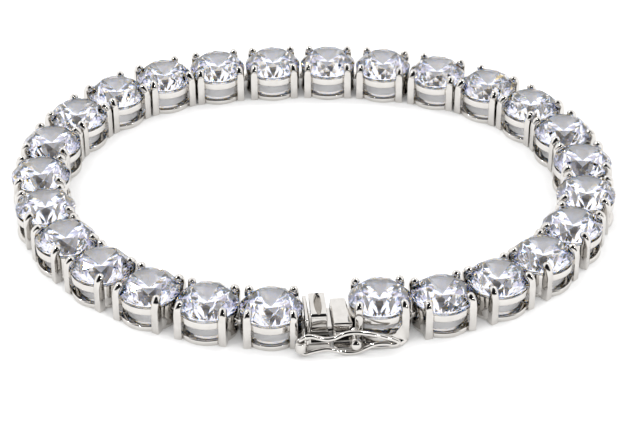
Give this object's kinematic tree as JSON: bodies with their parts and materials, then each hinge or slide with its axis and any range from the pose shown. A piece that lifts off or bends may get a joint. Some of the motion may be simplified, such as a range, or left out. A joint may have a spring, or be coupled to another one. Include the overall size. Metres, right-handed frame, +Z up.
{
  "type": "tennis bracelet",
  "caption": "Closed row of round brilliants in four-claw settings, laid stones-up in an oval, with a box clasp and a hinged figure-eight safety catch.",
  "frame": {"origin": "centre of the bracelet's base, on the plane that it lies on", "axes": "+X along the oval's longer way, +Y from the clasp side to the far side, +Z up, the way the stones face"},
  "size_m": [0.067, 0.058, 0.005],
  "materials": {
    "silver": "rhodium-plated silver, mirror polished",
    "zirconia": "clear colourless cubic zirconia, round brilliant cut, polished"
  },
  "bodies": {
    "root": {"setting_01": "silver", "setting_02": "silver", "setting_03": "silver", "setting_04": "silver", "setting_05": "silver", "setting_06": "silver", "setting_07": "silver", "setting_08": "silver", "setting_09": "silver", "setting_10": "silver", "setting_11": "silver", "setting_12": "silver", "setting_13": "silver", "setting_14": "silver", "setting_15": "silver", "setting_16": "silver", "setting_17": "silver", "setting_18": "silver", "setting_19": "silver", "setting_20": "silver", "setting_21": "silver", "setting_22": "silver", "setting_23": "silver", "setting_24": "silver", "setting_25": "silver", "setting_26_clasp_box": "silver", "stone_01": "zirconia", "stone_02": "zirconia", "stone_03": "zirconia", "stone_04": "zirconia", "stone_05": "zirconia", "stone_06": "zirconia", "stone_07": "zirconia", "stone_08": "zirconia", "stone_09": "zirconia", "stone_10": "zirconia", "stone_11": "zirconia", "stone_12": "zirconia", "stone_13": "zirconia", "stone_14": "zirconia", "stone_15": "zirconia", "stone_16": "zirconia", "stone_17": "zirconia", "stone_18": "zirconia", "stone_19": "zirconia", "stone_20": "zirconia", "stone_21": "zirconia", "stone_22": "zirconia", "stone_23": "zirconia", "stone_24": "zirconia", "stone_25": "zirconia", "stone_26": "zirconia", "clasp_tongue": "silver"},
    "catch": {"safety_catch": "silver"}
  },
  "joints": [
    {"name": "catch_hinge", "type": "hinge", "parent": "root", "child": "catch", "pos_m": [-0.00113, -0.02838, 0.0014], "axis": [0, 0, -1], "range_deg": [0, 110]}
  ]
}
